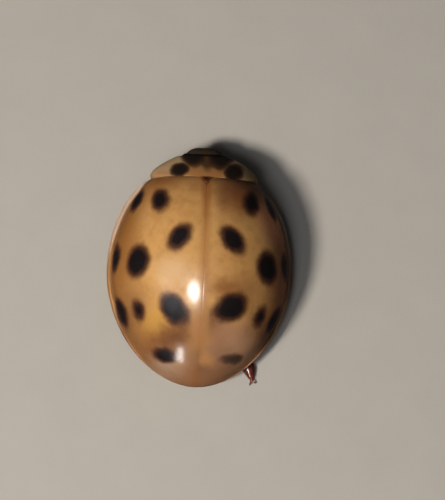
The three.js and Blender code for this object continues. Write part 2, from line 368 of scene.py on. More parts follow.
def grown(name, tree, start, values):
    """Runs a geometry node tree on a mesh and returns the result as a plain mesh object."""
    seed = linked(name + "_seed", start)
    modifier = seed.modifiers.new("growth", "NODES")
    modifier.node_group = tree
    ids = {item.name: item.identifier for item in tree.interface.items_tree
           if item.item_type == "SOCKET" and item.in_out == "INPUT"}
    for label, value in values.items():
        modifier[ids[label]] = value
    graph = bpy.context.evaluated_depsgraph_get()
    mesh = bpy.data.meshes.new_from_object(seed.evaluated_get(graph))
    seed.modifiers.clear()
    bpy.data.objects.remove(seed)
    mesh.name = name
    return linked(name, mesh)


def end_tree(tree, last, finish):
    """Closes a tree with Realize Instances and Set Material."""
    real = add_node(tree, "GeometryNodeRealizeInstances", {0: last})
    made = add_node(tree, "GeometryNodeSetMaterial", {"Geometry": real, "Material": finish})
    add_node(tree, "NodeGroupOutput", {0: made})
    return tree


def limb_tree():
    """A tube along each path, its girth read from the path, with bristles that lean to the tip."""
    tree, given = new_tree("limb", (
        ("Sides", "Int", 20),
        ("Flatness", "Float", 1.0),
        ("Bristles per area", "Float", 0.0),
        ("Bristle length", "Float", 0.08 * MM),
        ("Bristle root", "Float", 0.005 * MM),
        ("Bristle tip", "Float", 0.0008 * MM),
        ("Bristle lean", "Vector", (0.9, 0.9, 0.9)),
        ("Finish", "Material", None),
    ))
    path = add_node(tree, "GeometryNodeMeshToCurve", {"Mesh": given["Geometry"]})
    level = add_node(tree, "GeometryNodeSetCurveNormal", {"mode": "Z_UP", "Curve": path})
    ring = add_node(tree, "GeometryNodeCurvePrimitiveCircle", {"Radius": 1.0, "Resolution": given["Sides"]})
    squash = add_node(tree, "ShaderNodeCombineXYZ", {0: 1.0, 1: given["Flatness"], 2: 1.0})
    oval = add_node(tree, "GeometryNodeTransform", {"Geometry": ring, "Scale": squash})
    girth = add_node(tree, "GeometryNodeInputNamedAttribute", {"data_type": "FLOAT", "Name": "girth"})
    tube = add_node(tree, "GeometryNodeCurveToMesh", {
        "Curve": level, "Profile Curve": oval, "Scale": girth, "Fill Caps": True})
    soft = add_node(tree, "GeometryNodeSetShadeSmooth", {0: tube})
    roots = add_node(tree, "GeometryNodeDistributePointsOnFaces", {
        "Mesh": soft, "Density": given["Bristles per area"], "Seed": 7})
    hair = add_node(tree, "GeometryNodeMeshCone", {
        "Vertices": 4, "Radius Top": given["Bristle tip"], "Radius Bottom": given["Bristle root"],
        "Depth": given["Bristle length"]})
    heading = add_node(tree, "GeometryNodeInputNamedAttribute", {
        "data_type": "FLOAT_VECTOR", "Name": "heading"})
    lean = add_node(tree, "ShaderNodeVectorMath", {
        "operation": "MULTIPLY_ADD", 0: heading, 1: given["Bristle lean"], 2: roots.outputs["Normal"]})
    turn = add_node(tree, "FunctionNodeAlignRotationToVector", {"axis": "Z", "Vector": lean})
    size = add_node(tree, "FunctionNodeRandomValue", {"data_type": "FLOAT", 2: 0.6, 3: 1.1, "Seed": 3})
    hairs = add_node(tree, "GeometryNodeInstanceOnPoints", {
        "Points": roots, "Instance": hair, "Rotation": turn, "Scale": size.outputs[1]})
    both = add_node(tree, "GeometryNodeJoinGeometry", {0: soft})
    tree.links.new(hairs.outputs[0], both.inputs[0])
    return end_tree(tree, both, given["Finish"])


def grow_limb(tree, name, paths, finish, slot, node, flatness, bristles, bristle, sides=20):
    """A piece made of limb tubes, with its bristles per area and their length in metres."""
    piece = grown(name, tree, path_mesh("path", paths), {
        "Sides": sides, "Flatness": flatness, "Bristles per area": bristles, "Bristle length": bristle,
        "Finish": finish})
    settle(piece, finish, slot, node)


def eye_tree():
    """A ball of small domed facets."""
    tree, given = new_tree("compound eye", (
        ("Facet rings", "Int", 5),
        ("Facet height", "Float", 0.02),
        ("Facet top", "Float", 0.72),
        ("Half size", "Vector", (0.2 * MM,) * 3),
        ("Centre", "Vector", (0.0,) * 3),
        ("Finish", "Material", None),
    ))
    seeds = add_node(tree, "GeometryNodeMeshIcoSphere", {
        "Radius": 1.0, "Subdivisions": given["Facet rings"]})
    cells = add_node(tree, "GeometryNodeDualMesh", {0: seeds})
    raised = add_node(tree, "GeometryNodeExtrudeMesh", {
        "Mesh": cells, "Offset Scale": given["Facet height"], "Individual": True})
    domed = add_node(tree, "GeometryNodeScaleElements", {
        "Geometry": raised, "Selection": raised.outputs["Top"], "Scale": given["Facet top"]})
    placed = add_node(tree, "GeometryNodeTransform", {
        "Geometry": domed, "Translation": given["Centre"], "Scale": given["Half size"]})
    soft = add_node(tree, "GeometryNodeSetShadeSmooth", {0: placed})
    return end_tree(tree, soft, given["Finish"])


# ------------------------------------------------------------------ sizes and colours

def colour(label, note, value):
    return bpy.props.FloatVectorProperty(
        name=label, description=note, subtype="COLOR", size=4, min=0, max=1, default=linear(value))


def length(label, note, millimetres):
    return bpy.props.FloatProperty(name=label, description=note, unit="LENGTH", min=0, precision=6,
                                   default=millimetres * MM)


class LadybirdSizes(bpy.types.PropertyGroup):
    """Sizes of the small features."""
    seam: length("Suture gap", "Half the gap between the wing cases", 0.0012)
    roll: length("Suture edge", "How far the wing cases round off at the suture", 0.0018)
    shoulder: length("Shoulder swelling", "Height of the swelling on each shoulder", 0.05)
    fullness: length("Tail fullness", "How far the wing cases bulge above the rim at the tail", 0.075)
    punctures: length("Puncture spacing", "Distance between the fine pits of the shell", 0.09)
    bristle: length("Leg bristle", "Length of the bristles on the legs", 0.09)


class LadybirdColours(bpy.types.PropertyGroup):
    """Colours of the shell and body."""
    tan: colour("Wing case", "Ground colour of the wing cases", "#c9975a")
    honey: colour("Wing case, dark", "Darker clouds in the wing cases", "#a8703a")
    # Painted shade where it darkens the flanks towards the rim; elsewhere a random mottle.
    flank_shade_and_mottle: colour("Wing case, flank", "Browner amber down the flanks", "#8f5a2a")
    # Partly painted sheen: the greyish tone over the tail.
    tail: colour("Wing case, tail", "Colour of the tail of the wing cases", "#ab8c7c")
    suture: colour("Suture", "Stripe along the suture", "#9a5f2f")
    scutellum: colour("Scutellum", "Small plate between the wing cases", "#82502c")
    rim: colour("Rear margin", "Brown flat margin of the wing cases", "#a57c52")
    margin: colour("Margin", "Pale flat margin of the wing cases", "#bca18a")
    spot: colour("Spot", "Spots of the wing cases", "#181213")
    # Also the painted shade in the groove inside the flat margin.
    dark_brown_and_groove_shade: colour("Spot edge", "Brown edge of a spot, dark clouds of belly and legs", "#45231a")
    cream: colour("Neck shield", "Pale ground of the neck shield", "#b7976f")
    # Painted sheen, not wax: a greyish veil over the right tail.
    painted_tail_sheen: colour("Wax bloom", "Greyish wax over the right tail", "#7f6453")
    head: colour("Head", "Dark cuticle of the head", "#352c25")
    black: colour("Black cuticle", "Marks of the neck shield, eyes and chest", "#231a13")
    olive: colour("Olive brown", "Middle stripe of the head and shield", "#3f2f1a")
    belly: colour("Belly", "Orange brown of the belly", "#8f5426")
    foot: colour("Foot", "Dark red brown of the feet", "#7a3324")
    leg: colour("Leg", "Amber of the legs, mouthparts and feelers", "#9a5f2c")
    floor: colour("Floor", "Plain floor", "#aca59b")


# ------------------------------------------------------------------ materials

# Refraction of hardened chitin and of the wax film over it. The wax gives the gloss, and the
# chitin below adds little to it.
CHITIN_IOR = 1.56
CHITIN_SHINE = 0.06
WAX_IOR = 1.5
# Half the length, in millimetres, of a stripe that runs over a whole piece.
ENDLESS = 1000


def new_material(name):
    """An empty material with its tree and the object's coordinates in metres."""
    material = bpy.data.materials.new(name)
    material.use_nodes = True
    tree = material.node_tree
    tree.nodes.clear()
    return material, tree, add_node(tree, "ShaderNodeTexCoord").outputs["Object"]


def cuticle(name):
    """A material for insect cuticle with its tree and the object's coordinates in millimetres,
    so a noise of scale 3 has clouds about a third of a millimetre wide."""
    material, tree, where = new_material(name)
    place = add_node(tree, "ShaderNodeMapping", {"Vector": where, "Scale": (1 / MM, 1 / MM, 1 / MM)})
    return material, tree, place


def waxed(tree, ground, gloss, coat, coat_gloss, relief=None):
    """Ends a cuticle: hardened chitin under a thin wax film, which is the shader's coat."""
    settings = {
        "Base Color": ground, "Roughness": gloss, "IOR": CHITIN_IOR, "Specular IOR Level": CHITIN_SHINE,
        "Coat Weight": coat, "Coat Roughness": coat_gloss, "Coat IOR": WAX_IOR}
    if relief:
        settings["Normal"] = relief
    shader = add_node(tree, "ShaderNodeBsdfPrincipled", settings)
    add_node(tree, "ShaderNodeOutputMaterial", {"Surface": shader})


def painted(tree, ground, *layers):
    """Lays colours over a ground in turn. A layer is a colour, a value, the values at which it
    starts and is full, and its strength there."""
    for shade, value, start, full, strength in layers:
        share = add_node(tree, "ShaderNodeMapRange", {
            "interpolation_type": "SMOOTHSTEP", 0: value, 1: start, 2: full, 4: strength})
        mix = add_node(tree, "ShaderNodeMix", {"data_type": "RGBA", 0: share, 6: ground, 7: shade})
        ground = mix.outputs[2]
    return ground


def faded(tree, value, way, back, start, end, most):
    """A value that is shifted the more, up to most, the further back it is from start to end."""
    shift = add_node(tree, "ShaderNodeMapRange", {0: back, 1: start, 2: end, 4: most})
    return add_node(tree, "ShaderNodeMath", {"operation": way, 0: value, 1: shift})


def flattened(tree, place, noise, wobble):
    """A place without its height, so that what is drawn there wobbles a little sideways."""
    shake = add_node(tree, "ShaderNodeVectorMath", {
        "operation": "MULTIPLY_ADD", 0: noise.outputs["Color"], 1: (wobble, wobble, 0),
        2: (-wobble / 2, -wobble / 2, 0)})
    return add_node(tree, "ShaderNodeVectorMath", {
        "operation": "MULTIPLY_ADD", 0: place, 1: (1, 1, 0), 2: shake})


def off_centre(tree, place, centre, half, turn=0.0, tall=1.0):
    """How far a place is from the middle of an oval: 1 on its edge. Sizes in millimetres."""
    laid = add_node(tree, "ShaderNodeMapping", {
        "vector_type": "TEXTURE", "Vector": place, "Location": (*centre, 0),
        "Rotation": (0, 0, math.radians(turn)), "Scale": (*half, tall)})
    return add_node(tree, "ShaderNodeVectorMath", {"operation": "LENGTH", 0: laid}).outputs["Value"]


def patch(tree, place, centre, half, turn=0.0, tall=1.0):
    """1 in the middle of an oval patch, falling to 0 on its edge."""
    away = off_centre(tree, place, centre, half, turn, tall)
    return add_node(tree, "ShaderNodeMath", {"operation": "SUBTRACT", 0: 1.0, 1: away, "use_clamp": True})


def pits(tree, place, spacing, depth, strength):
    """Fine punctures of the cuticle as a bump: spacing and depth in millimetres."""
    cells = add_node(tree, "ShaderNodeTexVoronoi", {
        "Scale": 1 / spacing, "Randomness": 0.9, "Vector": place})
    hole = add_node(tree, "ShaderNodeMapRange", {
        "interpolation_type": "SMOOTHSTEP", 0: cells.outputs["Distance"], 2: 0.34})
    return add_node(tree, "ShaderNodeBump", {"Strength": strength, "Distance": depth * MM, "Height": hole})


# Spots of each wing case: distance from the suture, distance behind the base (both over the
# curve of the back), width, length, and how far the rear end leans outwards in degrees.
SPOTS = {
    "left": (
        (2.54, 0.79, 0.60, 0.78, 17),
        (1.41, 0.97, 0.58, 0.75, 0),
        (0.75, 2.22, 0.53, 0.82, 37),
        (2.14, 2.85, 0.88, 0.90, 40),
        (3.45, 2.56, 0.70, 0.76, 58),
        (3.19, 4.16, 0.68, 1.08, -55),
        (2.08, 4.24, 0.39, 0.57, -33),
        (0.82, 4.31, 0.65, 1.08, -42),
        (1.08, 5.74, 0.46, 0.90, -72),
    ),
    "right": (
        (2.56, 0.82, 0.62, 0.80, 17),
        (1.41, 0.93, 0.59, 0.77, 0),
        (0.81, 2.23, 0.58, 0.88, 43),
        (2.12, 2.85, 0.87, 0.90, 40),
        (3.32, 2.58, 0.66, 0.76, 58),
        (3.03, 4.18, 0.58, 1.08, -55),
        (2.01, 4.26, 0.37, 0.57, -33),
        (0.87, 4.17, 0.71, 1.09, -62),
        (1.15, 5.75, 0.32, 0.80, -78),
    ),
}


# Clouds in the amber of the wing cases, seen from above: middle x and y, half width, half
# length, turn in degrees, colour and strength. Some rows are painted shade over the right side
# or painted sheen on the back and tail, as marked.
CLOUDS_SHADE_AND_SHEEN = (
    # Painted shade over the right flank and the right front.
    (2.70, 0.10, 1.20, 3.40, 0, "#8f4e2f", 0.80),
    (1.40, 2.45, 1.60, 1.50, 0, "#683e27", 0.95),
    (0.85, 1.80, 1.00, 1.35, 12, "#7a4626", 0.85),
    (-0.72, -2.40, 1.35, 0.90, 12, "#6b401d", 1.00),
    (-2.05, -1.90, 0.85, 1.50, -20, "#7f5735", 0.75),
    (-1.28, -1.85, 0.80, 0.62, 20, "#bf8d40", 0.70),
    (-2.30, 0.60, 0.80, 2.60, 0, "#8a541c", 0.55),
    (0.55, -1.05, 0.80, 0.45, 0, "#80491f", 0.70),
    # Painted shade over the middle of the right wing case.
    (1.20, -1.00, 0.90, 0.70, 0, "#6e3c1e", 0.45),
    (-1.15, 2.20, 0.90, 0.40, 0, "#8a4f28", 0.50),
    (-0.35, 1.95, 0.40, 0.40, 0, "#96582f", 0.50),
    (0.48, 1.60, 0.40, 0.60, 0, "#855636", 0.60),
    # Takes back part of the painted shade at the right front.
    (1.85, 1.20, 0.60, 1.00, 15, "#de9268", 0.85),
    # Painted sheen beside the highlight on the left of the back.
    (-0.95, -0.60, 0.80, 0.70, 0, "#d9b68c", 0.50),
    (0.60, -2.35, 0.65, 0.80, 0, "#7c4c34", 0.80),
    (0.30, -1.95, 0.38, 0.60, 0, "#5c3820", 0.85),
    # Painted sheen: a pinkish grey veil over the right rear.
    (1.15, -2.40, 1.35, 0.95, -10, "#b58766", 0.90),
    # Painted shade down the right rear flank.
    (2.00, -2.00, 0.90, 1.00, 40, "#5a3624", 0.60),
    (-0.05, -2.20, 0.50, 1.30, 0, "#a57345", 0.90),
    (-0.10, -2.95, 0.40, 0.34, 0, "#86603f", 0.70),
    # Painted sheen: a greyish veil over the left tail.
    (-0.85, -3.05, 0.80, 0.40, -20, "#a98a70", 0.80),
    (0.10, -3.17, 0.50, 0.26, 0, "#7d563a", 0.65),
    (0.26, -2.93, 0.34, 0.24, 0, "#b8834c", 0.70),
)

# Where a greyish painted sheen lies over the right tail: middle, half size and turn in degrees.
PAINTED_TAIL_SHEEN = ((0.85, -2.84), (0.80, 0.42), -12)


def wing_case_finish(name, sizes, colours):
    """Tanned chitin with a wax film: a soft clear gloss over an amber ground, with black spots
    whose edges bleed brown, a darker suture and a pale margin. The ground also carries painted
    shade down the flanks, over the right side and in the groove of the margin, and painted sheen
    over the tail."""
    material, tree, place = cuticle(f"waxed tan chitin with spots, {name}")
    lie = add_node(tree, "ShaderNodeAttribute", {"attribute_name": "lie"}).outputs["Vector"]
    out, back, share = add_node(tree, "ShaderNodeSeparateXYZ", {0: lie}).outputs
    cloud, ripple, grain = (
        add_node(tree, "ShaderNodeTexNoise", {
            "Scale": scale, "Detail": detail, "Roughness": rough, "Vector": place})
        for scale, detail, rough in ((0.75, 3, 0.55), (3.2, 2, 0.5), (9, 3, 0.5)))

    # The ground is amber and browner along the suture; painted shade darkens it down the flanks,
    # and towards the tail it turns greyish, which is partly painted sheen.
    near_base = faded(tree, out, "ADD", back, 0.8, 2.6, 0.25)
    ground = painted(
        tree, colours.tan,
        (colours.honey, cloud, 0.38, 0.72, 0.40),
        (colours.flank_shade_and_mottle, ripple, 0.48, 0.72, 0.22),
        (colours.honey, grain, 0.45, 0.80, 0.18),
        # Greyish towards the tail: partly painted sheen.
        (colours.tail, back, 4.7, 6.3, 0.85),
        # Painted shade: darker down the flanks towards the rim.
        (colours.flank_shade_and_mottle, share, 0.62, 0.93, 0.75),
        (colours.suture, out, 0.24, 0.03, 0.45),
        (colours.suture, near_base, 0.24, 0.03, 0.70))
    plan = flattened(tree, place, ripple, 0.3)
    # Clouds, painted shade and painted sheen, laid on in turn.
    for x, y, half_x, half_y, turn, shade, strength in CLOUDS_SHADE_AND_SHEEN:
        shape = patch(tree, plan, (x, y), (half_x, half_y), turn)
        ground = painted(tree, ground, (linear(shade), shape, 0.0, 1.0, strength))

    # The flat margin is pale at the shoulders and brown further back, and ends before the tail.
    # A band of painted shade lies in the groove along its inner edge.
    pale = faded(tree, share, "SUBTRACT", back, 1.6, 2.9, 0.055)
    brown = faded(tree, share, "SUBTRACT", back, 4.0, 5.8, 0.110)
    ground = painted(
        tree, ground,
        # Painted shade in the groove between the dome and the flat margin.
        (colours.dark_brown_and_groove_shade, brown, 0.918, 0.950, 0.25),
        (colours.rim, brown, 0.952, 0.970, 0.75),
        (colours.margin, pale, 0.944, 0.968, 0.85))

    # The spots: the distance to the nearest one, in millimetres, is under 0 inside it.
    flat = flattened(tree, lie, ripple, 0.16)
    nearest = 1.0
    for side, rear, width, long, lean in SPOTS[name]:
        away = off_centre(tree, flat, (side, rear), (width / 2, long / 2), -lean)
        mean = (width + long) / 4
        edge = add_node(tree, "ShaderNodeMath", {"operation": "MULTIPLY_ADD", 0: away, 1: mean, 2: -mean})
        nearest = add_node(tree, "ShaderNodeMath", {"operation": "MINIMUM", 0: nearest, 1: edge})
    ground = painted(
        tree, ground,
        (colours.dark_brown_and_groove_shade, nearest, 0.19, -0.05, 0.92),
        (colours.spot, nearest, 0.03, -0.18, 1.0),
        # Painted sheen over the right tail.
        (colours.painted_tail_sheen, patch(tree, plan, *PAINTED_TAIL_SHEEN), 0.0, 0.7, 0.24))

    wax = add_node(tree, "ShaderNodeMapRange", {0: nearest, 1: -0.08, 2: 0.05, 3: 0.09, 4: 0.22})
    film = add_node(tree, "ShaderNodeMapRange", {0: grain, 1: 0.3, 2: 0.75, 3: 0.34, 4: 0.50})
    waxed(tree, ground, film, wax, 0.20, pits(tree, place, sizes.punctures / MM, 0.006, 0.35))
    return material


def dark_cuticle(name, colours, ground, stripe=0.0):
    """Black, heavily tanned chitin: deep brown black, glossy over fine punctures, with an
    olive stripe down the middle if one is asked for."""
    material, tree, place = cuticle(name)
    cloud = add_node(tree, "ShaderNodeTexNoise", {"Scale": 3.0, "Detail": 3.0, "Vector": place})
    ground = painted(tree, ground, (colours.belly, cloud, 0.4, 0.75, 0.10))
    if stripe:
        middle = patch(tree, place, (0, 0), (stripe, ENDLESS), tall=ENDLESS)
        ground = painted(tree, ground, (colours.olive, middle, 0.0, 1.0, 0.9))
    film = add_node(tree, "ShaderNodeMapRange", {0: cloud, 1: 0.3, 2: 0.8, 3: 0.28, 4: 0.42})
    waxed(tree, ground, film, 0.25, 0.16, pits(tree, place, 0.06, 0.005, 0.5))
    return material


def amber_cuticle(name, light, dark, scale=2.2):
    """Amber to orange brown chitin of the belly, legs and feelers: thin, waxy and less glossy."""
    material, tree, place = cuticle(name)
    cloud = add_node(tree, "ShaderNodeTexNoise", {"Scale": scale, "Detail": 3.0, "Vector": place})
    grain = add_node(tree, "ShaderNodeTexNoise", {"Scale": 22.0, "Detail": 2.0, "Vector": place})
    film = add_node(tree, "ShaderNodeMapRange", {0: grain, 1: 0.3, 2: 0.8, 3: 0.32, 4: 0.48})
    ground = painted(tree, light, (dark, cloud, 0.35, 0.7, 0.7))
    waxed(tree, ground, film, 0.25, 0.18, pits(tree, place, 0.05, 0.003, 0.4))
    return material


def scutellum_finish(colours):
    """Brown chitin that darkens to its front edge."""
    material, tree, place = cuticle("waxed brown chitin of the scutellum")
    flat = add_node(tree, "ShaderNodeVectorMath", {"operation": "MULTIPLY", 0: place, 1: (1, 1, 0)})
    dark = patch(tree, flat, (0, BASE_Y - 0.06), (0.17, 0.16))
    ground = painted(tree, colours.scutellum, (linear("#43190f"), dark, 0.0, 0.8, 0.9))
    waxed(tree, ground, 0.42, 0.20, 0.20, pits(tree, place, 0.06, 0.003, 0.3))
    return material


def eye_finish(colours):
    """Clear chitin lenses over black: very smooth and wet looking."""
    material, tree, place = cuticle("faceted eye lens, clear chitin over black")
    cloud = add_node(tree, "ShaderNodeTexNoise", {"Scale": 6.0, "Vector": place})
    waxed(tree, painted(tree, colours.black, (linear("#2a2320"), cloud, 0.0, 1.0, 1.0)), 0.16, 0.8, 0.05)
    return material


# Dark marks of the neck shield: middle x, middle y from the hind margin, half width, half
# length and turn in degrees.
SHIELD_MARKS = (
    (-0.77, 0.22, 0.35, 0.30, 25),
    (0.81, 0.23, 0.34, 0.43, -25),
    (-0.40, 0.84, 0.44, 0.66, 8),
    (0.46, 0.84, 0.46, 0.72, -8),
)


def shield_finish(colours):
    """The neck shield: cream chitin with dark brown marks that run together towards the head."""
    material, tree, place = cuticle("waxed cream chitin with dark marks")
    wave = add_node(tree, "ShaderNodeTexNoise", {"Scale": 4.0, "Detail": 2.0, "Vector": place})
    flat = flattened(tree, place, wave, 0.12)
    rear = SHIELD_LOW.y
    ground = painted(tree, colours.cream, (colours.honey, wave, 0.4, 0.75, 0.5))
    # A honey band along the hind margin, brown hind corners, painted shade over the right half and
    # an olive middle towards the head.
    for shade, centre, half, start, full, strength in (
            (colours.honey, (0, rear + 0.15), (1.00, 0.75), 0.0, 0.6, 0.85),
            (linear("#8a5c35"), (-1.40, rear - 0.02), (1.00, 0.34), 0.0, 0.7, 0.60),
            (linear("#8a5c35"), (1.40, rear - 0.02), (1.00, 0.34), 0.0, 0.7, 0.60),
            # Painted shade over the right half.
            (linear("#6b5a38"), (1.45, rear + 0.20), (0.75, 0.80), 0.0, 0.8, 0.8),
            (colours.olive, (0.04, SHIELD_HIGH.y), (0.32, 0.75), 0.05, 0.5, 0.90)):
        ground = painted(tree, ground, (shade, patch(tree, flat, centre, half), start, full, strength))
    marks = 0.0
    for x, ahead, half_x, half_y, turn in SHIELD_MARKS:
        oval = patch(tree, flat, (x, rear + ahead), (half_x, half_y), turn)
        marks = add_node(tree, "ShaderNodeMath", {"operation": "MAXIMUM", 0: marks, 1: oval})
    ground = painted(
        tree, ground, (colours.dark_brown_and_groove_shade, marks, 0.0, 0.30, 0.80), (colours.black, marks, 0.07, 0.50, 1.0))
    wax = add_node(tree, "ShaderNodeMapRange", {0: marks, 1: 0.10, 2: 0.42, 3: 0.20, 4: 0.07})
    waxed(tree, ground, 0.42, wax, 0.20, pits(tree, place, 0.07, 0.005, 0.35))
    return material


def floor_finish(colours):
    """Matt painted board: plain and pale, with a very faint mottle."""
    material, tree, where = new_material("matt painted board")
    cloud = add_node(tree, "ShaderNodeTexNoise", {"Scale": 700.0, "Detail": 4.0, "Vector": where})
    dark = tuple(c * 0.93 for c in colours.floor[:3]) + (1.0,)
    mottle = painted(tree, colours.floor, (dark, cloud, 0.0, 1.0, 1.0))
    shader = add_node(tree, "ShaderNodeBsdfPrincipled", {"Base Color": mottle, "Roughness": 0.8})
    add_node(tree, "ShaderNodeOutputMaterial", {"Surface": shader})
    return material


# ------------------------------------------------------------------ shell shapes

ROWS = 104
DOME_COLUMNS = 54
MARGIN_COLUMNS = 9
UNDER_COLUMNS = 6

# All in millimetres: how far the front edge of a wing case bows forwards at BOW_AT from the
# suture, and how much more its outer corner does, from CORNER_AT on.
BOW, BOW_AT = 0.10, 1.72
CORNER, CORNER_AT, CORNER_WIDTH = 0.12, 1.45, 0.3
# How the edges along the suture and the base round off: reach from the edge, and drop.
ROLL_REACH = 0.012
BASE_REACH, BASE_DROP = 0.05, 0.045
# The shoulder swelling: its middle, and its spread across and along.
SHOULDER_X, SHOULDER_Y = 1.35, 1.75
SHOULDER_ACROSS, SHOULDER_ALONG = 0.30, 0.35
# The tail's fullness: where it is highest and its spread, as shares of the way out.
FULLEST, FULL_SPREAD = 0.915, 0.055
# The rounded rim: how far out and how far down each row of its points is.
RIM_PROFILE = ((0.004, 0.012), (0.003, 0.030), (-0.006, 0.044))
# The underside turns in from the rim to this share of the outline, where the hollow starts.
RIM_INNER, HOLLOW = 0.992, 0.83
# How far the roof of the hollow lies below the top of the back.
ROOF = 0.45


def wing_case_rings(side, sizes):
    """Closed rings of one wing case from the base to the tail, and where each point lies:
    distance from the suture, distance behind the base, and share of the way to the outline."""
    seam = sizes.seam / MM
    roll = sizes.roll / MM
    swelling = sizes.shoulder / MM
    fullness = sizes.fullness / MM
    rings, lies = [], []
    for b in range(ROWS + 1):
        run = b / ROWS
        middle = lerp(BASE_Y, TAIL_Y, arch(run))
        bow = (1 - run) ** 2

        def line(x):
            return middle + bow * (
                BOW * (x / BOW_AT) ** 2 + CORNER * clamp((x - CORNER_AT) / CORNER_WIDTH) ** 2)

        notch = max(0.0, (middle - SCUTELLUM_TIP) / (BASE_Y - SCUTELLUM_TIP)) * (SCUTELLUM_HALF + 0.004)
        start = seam + notch
        rim_x = bisect(lambda x: share_at(x, line(x)) - 1, start, HALF_WIDTH + 0.1)
        foot = 1 - along(FLANGE, line(rim_x)) / HALF_WIDTH
        foot_x = bisect(lambda x: share_at(x, line(x)) - foot, start, rim_x + 1e-6)
        columns = [lerp(start, foot_x, arch((k / DOME_COLUMNS) ** 1.55)) for k in range(DOME_COLUMNS + 1)]
        columns += [lerp(foot_x, rim_x, k / MARGIN_COLUMNS) for k in range(1, MARGIN_COLUMNS + 1)]
        ring, lie = [], []
        travelled = columns[0]
        last = None
        for x in columns:
            y = line(x)
            share = min(share_at(x, y), 1.0)
            z = back_height(x, y)
            z -= roll * math.exp(-(x - start) / ROLL_REACH)
            z -= BASE_DROP * math.exp(-(BASE_Y - middle) / BASE_REACH)
            z += swelling * bump(x - SHOULDER_X, SHOULDER_ACROSS) * bump(y - SHOULDER_Y, SHOULDER_ALONG)
            z += fullness * bump(share - FULLEST, FULL_SPREAD) * clamp((WIDEST_Y - y) / 1.5)
            if last is not None:
                travelled += math.hypot(x - last[0], z - last[1])
            last = (x, z)
            ring.append((side * x, y, z))
            lie.append((travelled, arc_at(y), share))
        edge_x, edge_y, edge_z = abs(ring[-1][0]), ring[-1][1], ring[-1][2]
        rim = rim_height(edge_y)
        turned = [(1 + out / HALF_WIDTH, edge_z - drop) for out, drop in RIM_PROFILE]
        for k in range(UNDER_COLUMNS):
            share = k / (UNDER_COLUMNS - 1)
            z = rim - 0.03 + 0.05 * share - 0.02 * math.sin(share * math.pi)
            turned.append((lerp(RIM_INNER, HOLLOW, share), z))
        edge_lie = (travelled, lie[-1][1], 1.0)
        inner = len(ring) + len(RIM_PROFILE) - UNDER_COLUMNS
        for reach, z in turned:
            ring.append((side * max(edge_x * reach, seam), drawn_in(edge_y, reach), z))
            lie.append(edge_lie)
        for k in range(inner):
            x = lerp(start, edge_x, arch(1 - k / (inner - 1)))
            y = line(x)
            part = min(share_at(x, y), 1.0)
            z = rim + 0.02 + (BACK_TOP - ROOF - rim) * math.sqrt(1 - part * part) * 0.98
            ring.append((side * lerp(seam, x, 0.82), drawn_in(y, HOLLOW), z))
            lie.append((x, lie[0][1], part))
        rings.append(ring)
        lies.append(lie)
    return rings, lies


def scutellum_rings():
    """A small triangular plate between the bases of the wing cases."""
    steps = 12
    rings = []
    for i in range(steps + 1):
        share = i / steps
        y = lerp(SCUTELLUM_TIP + 0.015, BASE_Y, share)
        half = (SCUTELLUM_HALF - 0.002) * share + 0.002
        top, low = [], []
        for j in range(steps + 1):
            across = j / (steps / 2) - 1
            x = half * across
            z = back_height(0, y) - 0.006 - 0.02 * abs(across) ** 4 + 0.012 * (1 - across ** 2)
            top.append((x, y, z - 0.03 * (1 - share) ** 6))
            low.append((x, y, z - 0.35))
        rings.append(top + low[::-1])
    return rings


SHIELD_REAR_HALF = SHIELD_HIGH.x
SHIELD_FRONT_HALF = 0.85
SHIELD_TOP = SHIELD_HIGH.z
SHIELD_FRONT_TOP = 1.86
# At the hind margin and at the front: height of the side edge, and thickness.
SHIELD_EDGE = (1.30, 1.44)
SHIELD_THICK = (0.42, 0.22)


def shield_point(across, part, lift):
    """A point of the neck shield: across from -1 to 1, part from the hind margin to the front,
    lift 1 on its upper face and 0 on its lower one."""
    bend = across * math.pi / 2
    half = lerp(SHIELD_REAR_HALF, SHIELD_FRONT_HALF, part ** 1.8)
    half -= 0.10 * (1 - part) ** 8
    rear = SHIELD_LOW.y - 0.025 + 0.12 * across ** 2
    front = SHIELD_HIGH.y + 0.01 * across ** 2
    top = lerp(SHIELD_TOP - 0.01, SHIELD_FRONT_TOP, part ** 1.15)
    thick = lerp(*SHIELD_THICK, part)
    under = 1 - lift
    x = (half - under * thick * 0.5) * math.sin(bend)
    low = lerp(*SHIELD_EDGE, part) - under * thick * 0.3
    z = low + (top - under * thick - low) * max(math.cos(bend), 0) ** 0.9
    if lift:
        z -= 0.035 * math.exp(-(1 - part) / 0.03)
        z -= 0.012 * bump(1 - abs(across) - 0.10, 0.05)
    return x, lerp(rear, front, part), z


def shield_rings():
    """Rings of the neck shield from the hind margin to the front, closer near its edges."""
    rings = []
    steps = 34
    columns = 72
    for i in range(steps + 1):
        part = 0.5 - 0.5 * math.cos(i / steps * math.pi)
        even = [lerp(-1, 1, j / columns) for j in range(columns + 1)]
        turns = [arch(t) * 0.35 + t * 0.65 for t in even]
        upper = [shield_point(t, part, 1) for t in turns]
        rings.append(upper + [shield_point(t, part, 0) for t in reversed(turns)])
    return rings


# ------------------------------------------------------------------ body shapes

HIP_Y = -0.30
CHEST_BACK_Y = 2.10
RINGS_OF_BELLY = (-0.95, -1.50, -2.00, -2.45)
# How far the trunk stays inside the outline and below the top of the back.
TRUNK_GAP = 0.55
TRUNK_ROOF = 0.62
# Heights of the foot over the floor.
HEEL = 0.20
SOLE = 0.125


def middle_and_half(node):
    """The middle of a CAD node's box and half its size, in millimetres."""
    low, high = corners(node)
    return (low + high) / 2, (high - low) / 2


def inside(node, side, out, ahead, up, inset):
    """A point in a CAD node's box, shrunk by inset millimetres: shares from 0 to 1 outwards, to
    the head and up."""
    low, high = corners(node)
    shares = (out if side > 0 else 1 - out, ahead, up)
    return Vector(lerp(low[i] + inset, high[i] - inset, share) for i, share in enumerate(shares))


